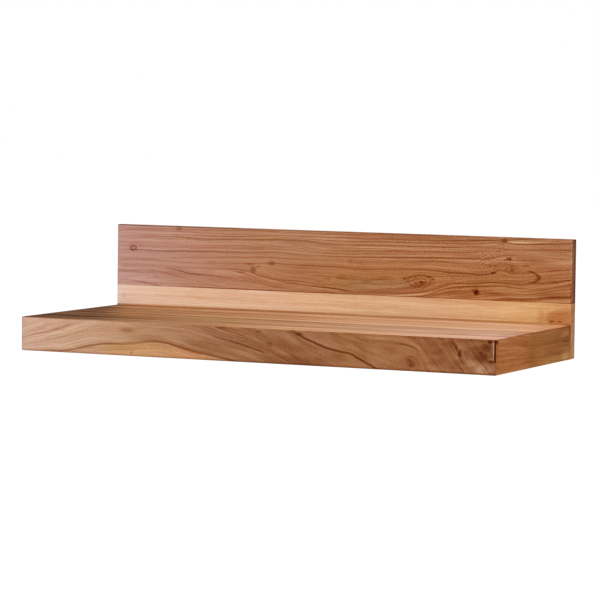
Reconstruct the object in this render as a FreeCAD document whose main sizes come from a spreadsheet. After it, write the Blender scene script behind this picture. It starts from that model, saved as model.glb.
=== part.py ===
import FreeCAD, Part
import os

import Sketcher

# A wall shelf of oiled hardwood. Its back panel is two edge-glued boards, and its shelf is a thin
# top of six staves whose front and ends are mitred down to fascias, so that the edge looks thick.
# Lengths are millimetres. X runs to the right seen from the front, Y towards the wall and Z up.
# The origin lies on the wall plane, midway between the entry holes of the two keyhole hangers.

SIZES = [
    ("overall_width", 600, "back panel and shelf, end to end"),
    ("shelf_depth", 235, "how far the shelf stands out from the back panel"),
    ("shelf_thick", 40, "height of the fascias, the thickness that shows"),
    ("panel_thick", 15, "back panel"),
    ("panel_rise", 100, "back panel above the shelf's top"),
    ("lower_board", 65, "height of the back panel's lower board"),
    ("panel_easing", 1.5, "radius on the edges of the back panel"),
    ("shelf_easing", 1.5, "radius on the edges of the shelf"),
    ("top_thick", 18, "staves of the top"),
    ("fascia_thick", 18, "fascia boards"),
    ("first_stave", 33, "width of the front stave at the top surface"),
    ("second_stave", 45, "width"),
    ("third_stave", 38, "width"),
    ("fourth_stave", 38, "width"),
    ("fifth_stave", 36, "width; the rear stave takes what is left"),
    ("batten_height", 20, "battens under the top"),
    ("batten_width", 18, "glue strips behind the fascias"),
    ("rail_depth", 28, "rear rail, front to rear"),
    ("rib_width", 20, "centre rib"),
    ("block_leg", 30, "short sides of a corner block"),
    ("spline_thick", 3, "splines across the upright mitres"),
    ("spline_width", 10, "a spline across its mitre"),
    ("spline_height", 16, "a spline along its mitre"),
    ("spline_lift", 3, "from the shelf's underside up to a spline"),
    ("spline_clear", 0.1, "between a spline and its slot"),
    ("dowel_radius", 4, "dowels between the shelf and the back panel"),
    ("dowel_length", 30, "whole length of a dowel"),
    ("dowel_bite", 10, "how far a dowel goes into the back panel"),
    ("dowel_chamfer", 1, "at each end of a dowel"),
    ("dowel_clear", 0.1, "between a dowel and the wall of its hole"),
    ("dowel_end_gap", 0.5, "beyond each end of a dowel"),
    ("back_screw_length", 35, "screws from the back panel into the rear rail"),
    ("back_screw_shank", 2, "radius"),
    ("back_screw_head", 4, "radius"),
    ("back_screw_point", 5, "tapered end"),
    ("back_screw_margin", 60, "from an end of the panel to the outermost back screw"),
    ("batten_screw_length", 28, "screws from the battens up into the top"),
    ("batten_screw_shank", 1.75, "radius"),
    ("batten_screw_head", 3.5, "radius"),
    ("batten_screw_point", 4, "tapered end"),
    ("batten_screw_margin", 45, "from an end of a cross batten to its screw"),
    ("plate_screw_length", 10, "screws that hold the hangers"),
    ("plate_screw_shank", 1.5, "radius"),
    ("plate_screw_head", 2.8, "radius"),
    ("plate_screw_point", 2.5, "tapered end"),
    ("plate_screw_margin", 6.5, "from an end of a hanger to its screw"),
    ("screw_rim", 0.3, "straight edge of a countersunk head"),
    ("screw_sink", 0.2, "head below the face around it"),
    ("screw_clear", 0.1, "between a screw and the wall of its hole"),
    ("hanger_margin", 80, "from an end of the panel to the middle of a hanger"),
    ("hanger_drop", 42, "from the top of the back panel down to the entry holes"),
    ("plate_length", 56, "keyhole hanger, end to end"),
    ("plate_width", 16, "keyhole hanger"),
    ("plate_thick", 2, "keyhole hanger"),
    ("plate_foot", 20, "from an entry hole down to the hanger's lower end"),
    ("plate_inset", 0.2, "hanger's face below the panel's rear face"),
    ("plate_clear", 0.3, "around a hanger in its recess"),
    ("entry_radius", 5, "hole that lets the wall screw's head in"),
    ("slot_radius", 2.5, "slot that holds the wall screw's shank"),
    ("seat_rise", 12, "from the entry hole up to the screw's seat"),
    ("head_room", 3, "room for the wall screw's head on each side of the slot"),
    ("head_depth", 8, "depth of that room behind the hanger"),
    ("overrun", 2, "how far cutting shapes pass the faces that they cut"),
]

# Places and counts that aren't lengths
SPLINE_PLACE_SHARE = 0.6  # from the outer corner inwards along the mitre
RECESS_LENGTH_SHARE = 0.55  # a screw's cross recess, of its head
RECESS_WIDTH_SHARE = 0.14
RECESS_DEPTH_SHARE = 0.4
BACK_SCREWS = 5

# Faces and places as formulas on the sizes
HALF_WIDTH = "(Sizes.overall_width / 2)"
PANEL_TOP = "Sizes.hanger_drop"
SHELF_TOP = "(Sizes.hanger_drop - Sizes.panel_rise)"
UNDERSIDE = f"({SHELF_TOP} - Sizes.shelf_thick)"
TOP_UNDERSIDE = f"({SHELF_TOP} - Sizes.top_thick)"
BOARD_JOINT = f"({UNDERSIDE} + Sizes.lower_board)"
PANEL_FRONT = "(-Sizes.panel_thick)"
SHELF_FRONT = "(-Sizes.panel_thick - Sizes.shelf_depth)"
INNER_FRONT = f"({SHELF_FRONT} + Sizes.fascia_thick)"
STRIP_REAR = f"({INNER_FRONT} + Sizes.batten_width)"
RAIL_FRONT = f"({PANEL_FRONT} - Sizes.rail_depth)"
INNER_HALF = f"({HALF_WIDTH} - Sizes.fascia_thick)"
STRIP_INNER = f"({INNER_HALF} - Sizes.batten_width)"
BATTEN_FOOT = f"({TOP_UNDERSIDE} - Sizes.batten_height)"
RAIL_MIDDLE = f"({TOP_UNDERSIDE} - Sizes.batten_height / 2)"
FASCIA_MIDDLE = f"({UNDERSIDE} + (Sizes.shelf_thick - Sizes.top_thick) / 2)"

X_AXIS = FreeCAD.Vector(1, 0, 0)
Z_AXIS = FreeCAD.Vector(0, 0, 1)
UPRIGHT = FreeCAD.Rotation()
HEAD_TO_WALL = FreeCAD.Rotation(X_AXIS, -90)  # local up becomes +Y, towards the wall
HEAD_DOWN = FreeCAD.Rotation(X_AXIS, 180)

doc = FreeCAD.newDocument("WallShelf")
sheet = doc.addObject("Spreadsheet::Sheet", "Sizes")
for row, (alias, size, meaning) in enumerate(SIZES, start=1):
    sheet.set(f"A{row}", meaning)
    sheet.set(f"B{row}", str(size))
    sheet.setAlias(f"B{row}", alias)
doc.recompute()

sub_parts = []


def number(formula):
    """What a formula on the sizes comes to now."""
    return float(sheet.evalExpression(str(formula)))


def bind(thing, formulas):
    """Ties properties of a thing to formulas on the sizes."""
    for name, formula in formulas.items():
        thing.setExpression(name, formula)
    return thing


def place(thing, x="0", y="0", z="0", turn=UPRIGHT):
    """Turns a thing and ties its position to formulas."""
    thing.Placement = FreeCAD.Placement(FreeCAD.Vector(), turn)
    return bind(thing, {".Placement.Base.x": x, ".Placement.Base.y": y, ".Placement.Base.z": z})


def sub_part(thing, label):
    """Gives a finished piece its name and puts it among the pieces to write."""
    thing.Label = label
    sub_parts.append(thing)
    return thing


# Sketches and bodies


def sketch_on(body, role, name):
    """A sketch on one of the body's own origin planes."""
    plane = [feature for feature in body.Origin.OriginFeatures if feature.Role == role][0]
    sketch = body.newObject("Sketcher::SketchObject", name)
    sketch.AttachmentSupport = (plane, [""])
    sketch.MapMode = "FlatFace"
    return sketch


def pin(sketch, geometry, end, x, y, name):
    """Ties one point of a sketch to formulas for its two coordinates."""
    for kind, letter, formula in (("DistanceX", "x", x), ("DistanceY", "y", y)):
        index = sketch.addConstraint(
            Sketcher.Constraint(kind, -1, 1, geometry, end, number(formula))
        )
        sketch.renameConstraint(index, f"{name}_{letter}")
        sketch.setExpression(f".Constraints.{name}_{letter}", str(formula))


def draw_outline(sketch, points):
    """A closed outline of straight lines through points given as pairs of formulas."""
    corners = [FreeCAD.Vector(number(x), number(y), 0) for x, y in points]
    last = len(corners) - 1
    for here, corner in enumerate(corners):
        ahead = 0 if here == last else here + 1
        sketch.addGeometry(Part.LineSegment(corner, corners[ahead]), False)
    for here in range(len(corners)):
        ahead = 0 if here == last else here + 1
        sketch.addConstraint(Sketcher.Constraint("Coincident", here, 2, ahead, 1))
    for here, (x, y) in enumerate(points):
        pin(sketch, here, 1, x, y, f"corner{here}")


def draw_slot(sketch, low, high, radius):
    """A round-ended upright outline between two centres on the sketch's V axis."""
    r, bottom, top = number(radius), number(low), number(high)
    left, right = FreeCAD.Vector(-r, top, 0), FreeCAD.Vector(r, bottom, 0)
    sketch.addGeometry(
        [
            Part.Arc(left, FreeCAD.Vector(0, top + r, 0), FreeCAD.Vector(r, top, 0)),
            Part.LineSegment(FreeCAD.Vector(r, top, 0), right),
            Part.Arc(right, FreeCAD.Vector(0, bottom - r, 0), FreeCAD.Vector(-r, bottom, 0)),
            Part.LineSegment(FreeCAD.Vector(-r, bottom, 0), left),
        ],
        False,
    )
    # An arc runs anticlockwise, so the upper one starts on the right and the lower on the left
    sketch.addConstraint(
        [
            Sketcher.Constraint("Tangent", 0, 1, 1, 1),
            Sketcher.Constraint("Tangent", 1, 2, 2, 2),
            Sketcher.Constraint("Tangent", 2, 1, 3, 1),
            Sketcher.Constraint("Tangent", 3, 2, 0, 2),
            Sketcher.Constraint("PointOnObject", 0, 3, -2),
            Sketcher.Constraint("PointOnObject", 2, 3, -2),
        ]
    )
    for name, kind, spot, formula in (
        ("radius", "Radius", (0,), radius),
        ("top", "DistanceY", (-1, 1, 0, 3), high),
        ("bottom", "DistanceY", (-1, 1, 2, 3), low),
    ):
        index = sketch.addConstraint(Sketcher.Constraint(kind, *spot, number(formula)))
        sketch.renameConstraint(index, name)
        sketch.setExpression(f".Constraints.{name}", str(formula))


def pad_up(name, points, height):
    """A body with an outline on its XY plane, padded upwards."""
    body = doc.addObject("PartDesign::Body", name)
    sketch = sketch_on(body, "XY_Plane", f"{name}Outline")
    draw_outline(sketch, points)
    pad = body.newObject("PartDesign::Pad", f"{name}Pad")
    pad.Profile = sketch
    bind(pad, {"Length": height})
    return body


def pad_slot(name, low, high, radius, depth):
    """A round-ended body that reaches from the XZ plane towards the front."""
    body = doc.addObject("PartDesign::Body", name)
    sketch = sketch_on(body, "XZ_Plane", f"{name}Outline")
    draw_slot(sketch, low, high, radius)
    pad = body.newObject("PartDesign::Pad", f"{name}Pad")
    pad.Profile = sketch
    bind(pad, {"Length": depth})
    return body


def turned(name, points):
    """A body turned about its Z axis from points given as radius and height."""
    body = doc.addObject("PartDesign::Body", name)
    sketch = sketch_on(body, "XZ_Plane", f"{name}Profile")
    draw_outline(sketch, points)
    turning = body.newObject("PartDesign::Revolution", f"{name}Turning")
    turning.Profile = sketch
    turning.ReferenceAxis = (sketch, ["V_Axis"])
    return body


# Solids made from others


def box(name, x, y, z):
    """A box between pairs of formulas along X, Y and Z."""
    solid = doc.addObject("Part::Box", name)
    spans = {"Length": x, "Width": y, "Height": z}
    bind(solid, {side: f"({high}) - ({low})" for side, (low, high) in spans.items()})
    return place(solid, x[0], y[0], z[0])


def cut(name, base, *tools):
    """The base with each tool taken out in turn."""
    for count, tool in enumerate(tools, start=1):
        cutting = doc.addObject("Part::Cut", f"{name}{count}")
        cutting.Base = base
        cutting.Tool = tool
        base = cutting
    return base


def common(name, base, tool):
    """What the base and the tool share."""
    shared = doc.addObject("Part::Common", name)
    shared.Base = base
    shared.Tool = tool
    return shared


def copies(name, source, spots):
    """A group of links to one body, at (x, y, z, rotation) places."""
    links = []
    for count, (x, y, z, turn) in enumerate(spots, start=1):
        link = doc.addObject("App::Link", f"{name}{count}")
        link.LinkedObject = source
        links.append(place(link, x, y, z, turn))
    group = doc.addObject("Part::Compound", name)
    group.Links = links
    return group


def eased_block(name, points, height, radius, keep_rear_square):
    """A padded outline whose edges are rounded, apart from those round its rear face if asked."""
    body = pad_up(name, points, height)
    doc.recompute()
    pad = body.Tip
    rear = pad.Shape.BoundBox.YMax
    edges = []
    for count, edge in enumerate(pad.Shape.Edges, start=1):
        at_rear = all(abs(corner.Y - rear) < Part.Precision.confusion() for corner in edge.Vertexes)
        if not (keep_rear_square and at_rear):
            edges.append(f"Edge{count}")
    easing = body.newObject("PartDesign::Fillet", f"{name}Easing")
    easing.Base = (pad, edges)
    bind(easing, {"Radius": radius})
    return body


def rectangle(x_low, x_high, y_low, y_high):
    """The four corners of a rectangle, from formulas."""
    return [(x_low, y_low), (x_high, y_low), (x_high, y_high), (x_low, y_high)]


# Fasteners: each kind is one body and one cutting shape, repeated by links


def screw_profile(kind, grow, top):
    """Half a countersunk screw's section, grown by a clearance, with its head's face at zero."""
    head = f"(Sizes.{kind}_head + {grow})"
    shank = f"(Sizes.{kind}_shank + {grow})"
    neck = f"(-Sizes.screw_rim - Sizes.{kind}_head + Sizes.{kind}_shank)"
    shoulder = f"(Sizes.{kind}_point - Sizes.{kind}_length - {grow})"
    tip = f"(-Sizes.{kind}_length - {grow})"
    return [
        ("0", top),
        (head, top),
        (head, "-Sizes.screw_rim"),
        (shank, neck),
        (shank, shoulder),
        ("0", tip),
    ]


def screw(kind, name):
    """A countersunk screw with a cross recess, head up."""
    body = turned(name, screw_profile(kind, "0", "0"))
    doc.recompute()
    solid_volume = body.Tip.Shape.Volume
    long = f"(Sizes.{kind}_head * {RECESS_LENGTH_SHARE})"
    thin = f"(Sizes.{kind}_head * {RECESS_WIDTH_SHARE})"
    quarter = [(long, thin), (thin, thin), (thin, long)]
    cross = list(quarter)
    for _ in range(3):
        quarter = [(f"(-{y})", x) for x, y in quarter]
        cross += quarter
    sketch = sketch_on(body, "XY_Plane", f"{name}Cross")
    draw_outline(sketch, cross)
    recess = body.newObject("PartDesign::Pocket", f"{name}Recess")
    recess.Profile = sketch
    bind(recess, {"Length": f"Sizes.{kind}_head * {RECESS_DEPTH_SHARE}"})
    doc.recompute()
    if recess.Shape.Volume >= solid_volume:
        raise RuntimeError(f"{name}'s recess cuts nothing")
    return body


def screw_hole(kind, name):
    """What a screw and its clearance take out of the wood, with room above the head."""
    return turned(name, screw_profile(kind, "Sizes.screw_clear", "Sizes.overrun"))


def dowel_profile(radius, low, high, chamfer):
    """Half a dowel's section between two heights."""
    return [
        ("0", low),
        (f"({radius} - {chamfer})", low),
        (radius, f"({low} + {chamfer})"),
        (radius, f"({high} - {chamfer})"),
        (f"({radius} - {chamfer})", high),
        ("0", high),
    ]


def spread(count, margin):
    """Places along the width, evenly from one margin to the other."""
    step = f"(Sizes.overall_width - 2 * {margin}) / {count - 1}"
    return [f"({margin} - {HALF_WIDTH} + {place} * {step})" for place in range(count)]


# Places of the fasteners

back_screw_x = spread(BACK_SCREWS, "Sizes.back_screw_margin")
between_back_screws = [
    f"(({left} + {right}) / 2)" for left, right in zip(back_screw_x, back_screw_x[1:])
]
sunk_from_wall = "-Sizes.screw_sink"
sunk_from_below = f"({BATTEN_FOOT} + Sizes.screw_sink)"
strip_middle_x = f"({INNER_HALF} - Sizes.batten_width / 2)"
strip_middle_y = f"({INNER_FRONT} + Sizes.batten_width / 2)"
rail_middle_y = f"({PANEL_FRONT} - Sizes.rail_depth / 2)"
cross_batten_y = [
    f"({STRIP_REAR} + Sizes.batten_screw_margin)",
    f"({RAIL_FRONT} - Sizes.batten_screw_margin)",
]

back_screw_spots = [(x, sunk_from_wall, RAIL_MIDDLE, HEAD_TO_WALL) for x in back_screw_x]

batten_screw_spots = []
for x in between_back_screws:
    batten_screw_spots.append((x, strip_middle_y, sunk_from_below, HEAD_DOWN))
    batten_screw_spots.append((x, rail_middle_y, sunk_from_below, HEAD_DOWN))
for y in cross_batten_y:
    for x in (f"(-{strip_middle_x})", "0", strip_middle_x):
        batten_screw_spots.append((x, y, sunk_from_below, HEAD_DOWN))

dowel_y = f"({PANEL_FRONT} + Sizes.dowel_bite)"
dowel_spots = [
    (x, dowel_y, f"({SHELF_TOP} - Sizes.top_thick / 2)", HEAD_TO_WALL) for x in back_screw_x
]
for side in ("-1", "1"):
    end_x = f"({side} * ({HALF_WIDTH} - Sizes.fascia_thick / 2))"
    dowel_spots.append((end_x, dowel_y, FASCIA_MIDDLE, HEAD_TO_WALL))

hanger_x = {
    "left": f"(Sizes.hanger_margin - {HALF_WIDTH})",
    "right": f"({HALF_WIDTH} - Sizes.hanger_margin)",
}
plate_face = "(-Sizes.plate_inset)"
plate_low = "(Sizes.plate_width / 2 - Sizes.plate_foot)"
plate_high = "(Sizes.plate_length - Sizes.plate_foot - Sizes.plate_width / 2)"
plate_screw_z = [
    "(Sizes.plate_screw_margin - Sizes.plate_foot)",
    "(Sizes.plate_length - Sizes.plate_foot - Sizes.plate_screw_margin)",
]
plate_screw_spots = [
    (x, "(-Sizes.plate_inset - Sizes.screw_sink)", z, HEAD_TO_WALL)
    for x in hanger_x.values()
    for z in plate_screw_z
]

# Screws, dowels and the shapes that cut their holes

back_screws = copies("BackScrew", screw("back_screw", "BackScrewBody"), back_screw_spots)
back_screw_holes = copies(
    "BackScrewHole", screw_hole("back_screw", "BackScrewHoleBody"), back_screw_spots
)
batten_screws = copies("BattenScrew", screw("batten_screw", "BattenScrewBody"), batten_screw_spots)
batten_screw_holes = copies(
    "BattenScrewHole", screw_hole("batten_screw", "BattenScrewHoleBody"), batten_screw_spots
)
plate_screws = copies("PlateScrew", screw("plate_screw", "PlateScrewBody"), plate_screw_spots)
plate_screw_holes = copies(
    "PlateScrewHole", screw_hole("plate_screw", "PlateScrewHoleBody"), plate_screw_spots
)
dowel_body = turned(
    "DowelBody",
    dowel_profile("Sizes.dowel_radius", "(-Sizes.dowel_length)", "0", "Sizes.dowel_chamfer"),
)
dowel_hole_body = turned(
    "DowelHoleBody",
    dowel_profile(
        "(Sizes.dowel_radius + Sizes.dowel_clear)",
        "(-Sizes.dowel_length - Sizes.dowel_end_gap)",
        "Sizes.dowel_end_gap",
        "Sizes.dowel_chamfer",
    ),
)
panel_dowels = copies("Dowel", dowel_body, dowel_spots)
dowel_holes = copies("DowelHole", dowel_hole_body, dowel_spots)

sub_part(back_screws, "back_screws")
sub_part(batten_screws, "batten_screws")
sub_part(plate_screws, "plate_screws")
sub_part(panel_dowels, "panel_dowels")


# Keyhole hangers, let into the rear face of the upper board


def keyhole_plate():
    """A steel hanger with an entry hole at its origin and a slot that rises from it."""
    body = pad_slot("HangerBody", plate_low, plate_high, "Sizes.plate_width / 2", "Sizes.plate_thick")
    entry_sketch = sketch_on(body, "XZ_Plane", "HangerEntryOutline")
    entry_sketch.addGeometry(Part.Circle(FreeCAD.Vector(), -Z_AXIS, number("Sizes.entry_radius")), False)
    entry_sketch.addConstraint(Sketcher.Constraint("Coincident", 0, 3, -1, 1))
    entry_sketch.addConstraint(Sketcher.Constraint("Radius", 0, number("Sizes.entry_radius")))
    entry_sketch.renameConstraint(1, "radius")
    bind(entry_sketch, {".Constraints.radius": "Sizes.entry_radius"})
    slot_sketch = sketch_on(body, "XZ_Plane", "HangerSlotOutline")
    draw_slot(slot_sketch, "0", "Sizes.seat_rise", "Sizes.slot_radius")
    for name, sketch in (("HangerEntry", entry_sketch), ("HangerSlot", slot_sketch)):
        doc.recompute()
        volume = body.Tip.Shape.Volume
        pocket = body.newObject("PartDesign::Pocket", name)
        pocket.Profile = sketch
        pocket.Type = "ThroughAll"
        pocket.Midplane = True
        doc.recompute()
        if pocket.Shape.Volume >= volume:
            raise RuntimeError(f"{name} cuts nothing")
    return body


plate_body = keyhole_plate()
plate_recess_body = pad_slot(
    "HangerRecessBody",
    plate_low,
    plate_high,
    "(Sizes.plate_width / 2 + Sizes.plate_clear)",
    "(Sizes.overrun + Sizes.plate_inset + Sizes.plate_thick)",
)
head_room_body = pad_slot(
    "HeadRoomBody",
    "0",
    "Sizes.seat_rise",
    "(Sizes.slot_radius + Sizes.head_room)",
    "(Sizes.overrun + Sizes.plate_inset + Sizes.plate_thick + Sizes.head_depth)",
)
recess_spots = [(x, "Sizes.overrun", "0", UPRIGHT) for x in hanger_x.values()]
plate_recesses = copies("HangerRecess", plate_recess_body, recess_spots)
head_rooms = copies("HeadRoom", head_room_body, recess_spots)
for side, x in hanger_x.items():
    blank = copies(f"Hanger{side.title()}", plate_body, [(x, plate_face, "0", UPRIGHT)])
    sub_part(cut(f"HangerDrilled{side.title()}", blank, plate_screw_holes), f"keyhole_plate_{side}")

# Back panel: one eased block, divided at the glue joint

panel = place(
    eased_block(
        "Panel",
        rectangle(f"-{HALF_WIDTH}", HALF_WIDTH, PANEL_FRONT, "0"),
        f"{PANEL_TOP} - {UNDERSIDE}",
        "Sizes.panel_easing",
        keep_rear_square=False,
    ),
    z=UNDERSIDE,
)
across = (f"-{HALF_WIDTH}", HALF_WIDTH)
through = (PANEL_FRONT, "0")
upper_blank = common("UpperBlank", box("UpperBox", across, through, (BOARD_JOINT, PANEL_TOP)), panel)
lower_blank = common("LowerBlank", box("LowerBox", across, through, (UNDERSIDE, BOARD_JOINT)), panel)
sub_part(
    cut("UpperBoard", upper_blank, plate_recesses, head_rooms, plate_screw_holes),
    "back_board_upper",
)
sub_part(cut("LowerBoard", lower_blank, back_screw_holes, dowel_holes), "back_board_lower")

# Shelf: one eased block, divided at the mitres and between the staves

shelf = place(
    eased_block(
        "Shelf",
        rectangle(f"-{HALF_WIDTH}", HALF_WIDTH, SHELF_FRONT, PANEL_FRONT),
        "Sizes.shelf_thick",
        "Sizes.shelf_easing",
        keep_rear_square=True,
    ),
    z=UNDERSIDE,
)


def mitred(name, outer, inner, thick, spot, turn):
    """A board whose outer face is one rectangle and whose inner face is a smaller one.

    Each rectangle is (low, high, low, high) along the blank's X and Z, and the board's thickness
    runs along the blank's Y, from the outer face inwards.
    """
    blank = doc.addObject("Part::Wedge", name)
    bind(blank, dict(zip(("Xmin", "Xmax", "Zmin", "Zmax"), outer)))
    bind(blank, dict(zip(("X2min", "X2max", "Z2min", "Z2max"), inner)))
    bind(blank, {"Ymin": "0", "Ymax": thick})
    place(blank, *spot, turn)
    return common(f"{name}Eased", blank, shelf)


def top_staves():
    """The six staves of the top: mitred at the ends, and the front one along its front too."""
    joints = [SHELF_FRONT]
    for width in ("first_stave", "second_stave", "third_stave", "fourth_stave", "fifth_stave"):
        joints.append(f"({joints[-1]} + Sizes.{width})")
    joints.append(PANEL_FRONT)
    face_down = FreeCAD.Rotation(X_AXIS, -90)
    for count, (front, rear) in enumerate(zip(joints, joints[1:]), start=1):
        inner_front = INNER_FRONT if count == 1 else front
        blank = mitred(
            f"Stave{count}",
            (f"-{HALF_WIDTH}", HALF_WIDTH, front, rear),
            (f"-{INNER_HALF}", INNER_HALF, inner_front, rear),
            "Sizes.top_thick",
            ("0", "0", SHELF_TOP),
            face_down,
        )
        sub_part(cut(f"StaveDrilled{count}", blank, batten_screw_holes, dowel_holes), f"top_stave_{count}")


def corner_spline_bodies(grow):
    """The spline's section, centred on its mitre, and its height with the same clearance."""
    wide = f"(Sizes.spline_width / 2 + {grow})"
    thin = f"(Sizes.spline_thick / 2 + {grow})"
    return rectangle(f"-{wide}", wide, f"-{thin}", thin), f"(Sizes.spline_height + {grow})"


def corner_splines():
    """A spline across each upright mitre, and the slots that they fill."""
    spots = []
    for side, angle in (("-1", -45), ("1", 45)):
        inwards = f"(Sizes.fascia_thick * {SPLINE_PLACE_SHARE})"
        spots.append(
            (
                f"({side} * ({HALF_WIDTH} - {inwards}))",
                f"({SHELF_FRONT} + {inwards})",
                f"({UNDERSIDE} + Sizes.spline_lift)",
                FreeCAD.Rotation(Z_AXIS, angle),
            )
        )
    splines = copies("Spline", pad_up("SplineBody", *corner_spline_bodies("0")), spots)
    slot_body = pad_up("SplineSlotBody", *corner_spline_bodies("Sizes.spline_clear"))
    return sub_part(splines, "corner_splines"), copies("SplineSlot", slot_body, spots)


def fascias(spline_slots):
    """The front fascia and the two end fascias, mitred to each other and to the top."""
    low, high = "0", "Sizes.shelf_thick"
    inner_high = "(Sizes.shelf_thick - Sizes.top_thick)"
    front = mitred(
        "Front",
        (f"-{HALF_WIDTH}", HALF_WIDTH, low, high),
        (f"-{INNER_HALF}", INNER_HALF, low, inner_high),
        "Sizes.fascia_thick",
        ("0", SHELF_FRONT, UNDERSIDE),
        UPRIGHT,
    )
    sub_part(cut("FrontSlotted", front, spline_slots), "front_fascia")
    rear, far = "Sizes.panel_thick", f"(-{SHELF_FRONT})"
    inner_far = f"(-{INNER_FRONT})"
    left = mitred(
        "Left",
        (rear, far, low, high),
        (rear, inner_far, low, inner_high),
        "Sizes.fascia_thick",
        (f"-{HALF_WIDTH}", "0", UNDERSIDE),
        FreeCAD.Rotation(Z_AXIS, -90),
    )
    right = mitred(
        "Right",
        (SHELF_FRONT, PANEL_FRONT, low, high),
        (INNER_FRONT, PANEL_FRONT, low, inner_high),
        "Sizes.fascia_thick",
        (HALF_WIDTH, "0", UNDERSIDE),
        FreeCAD.Rotation(Z_AXIS, 90),
    )
    for side, blank in (("left", left), ("right", right)):
        drilled = cut(f"End{side.title()}", blank, spline_slots, dowel_holes)
        sub_part(drilled, f"end_fascia_{side}")


def battens():
    """The rail, strips, rib and corner blocks glued and screwed under the top."""
    height = (BATTEN_FOOT, TOP_UNDERSIDE)
    inner = (f"-{INNER_HALF}", INNER_HALF)
    rail = box("Rail", inner, (RAIL_FRONT, PANEL_FRONT), height)
    sub_part(cut("RailDrilled", rail, batten_screw_holes, back_screw_holes), "rear_rail")
    strip = box("FrontStrip", inner, (INNER_FRONT, STRIP_REAR), height)
    sub_part(cut("FrontStripDrilled", strip, batten_screw_holes), "front_glue_strip")
    cross = (STRIP_REAR, RAIL_FRONT)
    spans = {
        "end_glue_strip_left": (f"-{INNER_HALF}", f"-{STRIP_INNER}"),
        "end_glue_strip_right": (STRIP_INNER, INNER_HALF),
        "centre_rib": ("-Sizes.rib_width / 2", "Sizes.rib_width / 2"),
    }
    for label, span in spans.items():
        name = label.title().replace("_", "")
        batten = box(name, span, cross, height)
        sub_part(cut(f"{name}Drilled", batten, batten_screw_holes), label)
    for side, sign in (("left", "-1"), ("right", "1")):
        corner = f"({sign} * {STRIP_INNER})"
        inwards = f"({sign} * ({STRIP_INNER} - Sizes.block_leg))"
        triangle = [
            (corner, STRIP_REAR),
            (inwards, STRIP_REAR),
            (corner, f"({STRIP_REAR} + Sizes.block_leg)"),
        ]
        block = pad_up(f"Block{side.title()}", triangle, "Sizes.batten_height")
        sub_part(place(block, z=BATTEN_FOOT), f"corner_block_{side}")


top_staves()
splines, spline_slots = corner_splines()
fascias(spline_slots)
battens()
doc.recompute()

for thing in doc.Objects:
    if "Invalid" in thing.State or "Error" in thing.State:
        raise RuntimeError(f"{thing.Label} failed: {thing.State}")

os.makedirs("parts", exist_ok=True)
for piece in sub_parts:
    if piece.Shape.isNull() or not piece.Shape.isValid() or not piece.Shape.Solids:
        raise RuntimeError(f"{piece.Label} has no valid solid")
for piece in sub_parts:
    piece.Shape.exportStep(os.path.join("parts", f"{piece.Label}.step"))
    print(f"{piece.Label}: {len(piece.Shape.Solids)} solids, {piece.Shape.Volume:.0f} mm3")
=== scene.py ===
import math

import bpy
from mathutils import Matrix, Vector

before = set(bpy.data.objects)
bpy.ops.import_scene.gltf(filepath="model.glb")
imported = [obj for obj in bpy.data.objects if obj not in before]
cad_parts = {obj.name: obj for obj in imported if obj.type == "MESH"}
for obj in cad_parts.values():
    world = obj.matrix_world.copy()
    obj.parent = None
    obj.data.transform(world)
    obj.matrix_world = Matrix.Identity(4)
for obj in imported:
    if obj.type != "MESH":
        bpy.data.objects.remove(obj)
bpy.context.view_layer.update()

# The camera: where it looks, from which side and how far away, in metres and degrees.
CAMERA_TARGET = Vector((-0.05535, 0.0, -0.0435))
CAMERA_AZIMUTH = 25.106
CAMERA_ELEVATION = 4.0315
CAMERA_ROLL = 0.6769
CAMERA_DISTANCE = 3.7914
CAMERA_LENS = 187.058

# The lamps: name, place, size and power, in metres and watts.
LAMPS = [
    ("key", (-0.9, -1.9, 2.0), 1.6, 48),
    ("fill", (1.8, -1.3, 0.7), 1.6, 15),
    ("back", (0.0, 1.8, 1.4), 1.4, 3),
]

# The floor's height and size in metres, its grey, its glow to the camera and the light from all round.
FLOOR_HEIGHT = -0.75
FLOOR_SIZE = 40.0
FLOOR_GREY = 0.78
FLOOR_GLOW = 0.64
SKY_LIGHT = 0.52

# Planes of the object, in metres.
SHELF_TOP = -0.058
SHELF_FRONT = -0.25
PANEL_FRONT = -0.015
PANEL_TOP = 0.042
HALF_WIDTH = 0.3

# Millimetres in a metre, and the sizes of the boards in millimetres.
MM = 1000.0
LENGTH = 600
DEPTH = 250
PANEL_THICKNESS = 15

# Each board's own millimetres as (axis, scale, offset): along the grain, across the face, into the wood.
PANEL_FACE = (("x", MM, HALF_WIDTH * MM), ("z", -MM, PANEL_TOP * MM), ("y", MM, -PANEL_FRONT * MM))
TOP_FACE = (("x", MM, HALF_WIDTH * MM), ("y", -MM, PANEL_FRONT * MM), ("z", -MM, SHELF_TOP * MM))
FRONT_FACE = (("x", MM, HALF_WIDTH * MM), ("z", -MM, SHELF_TOP * MM), ("y", MM, -SHELF_FRONT * MM))
RIGHT_FACE = (("y", MM, -SHELF_FRONT * MM), ("z", -MM, SHELF_TOP * MM), ("x", -MM, HALF_WIDTH * MM))
LEFT_FACE = (("y", MM, -SHELF_FRONT * MM), ("z", -MM, SHELF_TOP * MM), ("x", MM, HALF_WIDTH * MM))
LENGTHWISE = (("x", MM, 300.0), ("y", MM, 0.0), ("z", -MM, 0.0))
CROSSWISE = (("y", MM, 300.0), ("x", MM, 0.0), ("z", -MM, 0.0))

# What a strong grain line does to the colour of the wood: how much richer and how much dimmer it gets.
# A pale line can't bring the power of the colour under LEAST_GAMMA.
RICHER = 0.42
DIMMER = 0.06
LEAST_GAMMA = 0.5

# Shares of the layers in the figure of the wood.
BROAD_SHARE = 1.2
RING_SHARE = 1.7
THIN_LINE_SHARE = 0.3
FIBRE_SHARE = 1.5
FLECK_SHARE = 0.9
PORE_SHARE = 0.3

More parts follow.
